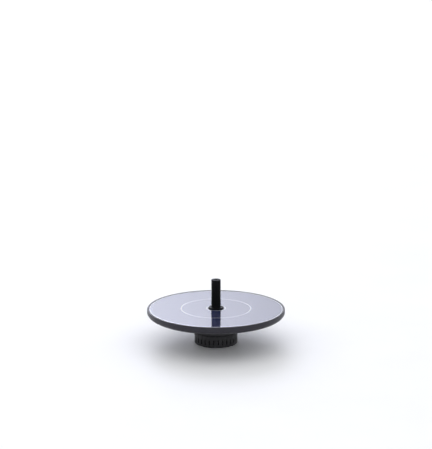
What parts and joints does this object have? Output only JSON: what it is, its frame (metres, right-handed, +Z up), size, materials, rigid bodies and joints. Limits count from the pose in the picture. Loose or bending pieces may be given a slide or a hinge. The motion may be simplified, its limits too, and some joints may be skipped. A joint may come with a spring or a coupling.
{
  "type": "solar fountain pump",
  "caption": "Floating fountain pump: a round float with a solar panel on top, a jet nozzle in its middle and a submersible pump with a strainer underneath.",
  "frame": {"origin": "centre of the strainer's resting face, under the nozzle", "axes": "+Z up along the jet, +X towards the water duct inside the pump"},
  "size_m": [0.16, 0.16, 0.0753],
  "materials": {
    "float_plastic": "satin",
    "pump_plastic": "satin",
    "nozzle_plastic": "satin",
    "impeller_plastic": "satin",
    "solar_cell": "gloss",
    "white_board": "satin",
    "clear_resin": "gloss",
    "silver_tab": "satin",
    "rubber": "matte",
    "lead": "satin",
    "stainless_steel": "satin",
    "ceramic": "satin",
    "magnet": "satin",
    "lamination": "satin",
    "copper": "satin",
    "circuit_board": "satin",
    "chip": "satin",
    "potting": "gloss",
    "foam": "matte"
  },
  "bodies": {
    "strainer": {"intake_strainer": "pump_plastic"},
    "unit": {"float_top": "float_plastic", "float_base": "float_plastic", "float_foam": "foam", "backsheet": "white_board", "cell_tabs": "silver_tab", "solar_cells_inner": "solar_cell", "solar_cells_outer": "solar_cell", "clear_cover": "clear_resin", "motor_housing": "pump_plastic", "stator_core": "lamination", "stator_coils": "copper", "driver_board": "circuit_board", "board_parts": "chip", "potting_seal": "potting", "outlet_elbow": "pump_plastic", "spigot_o_ring": "rubber", "flange_gasket": "rubber", "mount_screws": "stainless_steel", "lead_grommet": "rubber", "panel_leads": "lead", "rotor_shaft": "stainless_steel", "shaft_bush_upper": "rubber", "thrust_washers": "ceramic"},
    "rotor": {"impeller": "impeller_plastic", "rotor_magnet": "magnet"},
    "cover": {"chamber_cover": "pump_plastic", "cover_gasket": "rubber", "shaft_bush_lower": "rubber"},
    "riser": {"nozzle_riser": "nozzle_plastic"},
    "head": {"nozzle_head": "nozzle_plastic"}
  },
  "joints": [
    {"name": "strainer_release", "type": "slide", "parent": "strainer", "child": "unit", "axis": [0, 0, 1], "range_m": [0, 0.018]},
    {"name": "impeller_spin", "type": "hinge", "parent": "unit", "child": "rotor", "pos_m": [0, 0, 0.0155], "axis": [0, 0, 1], "continuous": true},
    {"name": "cover_twist", "type": "hinge", "parent": "unit", "child": "cover", "pos_m": [0, 0, 0.01], "axis": [0, 0, -1], "range_deg": [0, 30]},
    {"name": "riser_pull", "type": "slide", "parent": "unit", "child": "riser", "axis": [0, 0, 1], "range_m": [0, 0.012]},
    {"name": "head_pull", "type": "slide", "parent": "riser", "child": "head", "axis": [0, 0, 1], "range_m": [0, 0.01]}
  ]
}
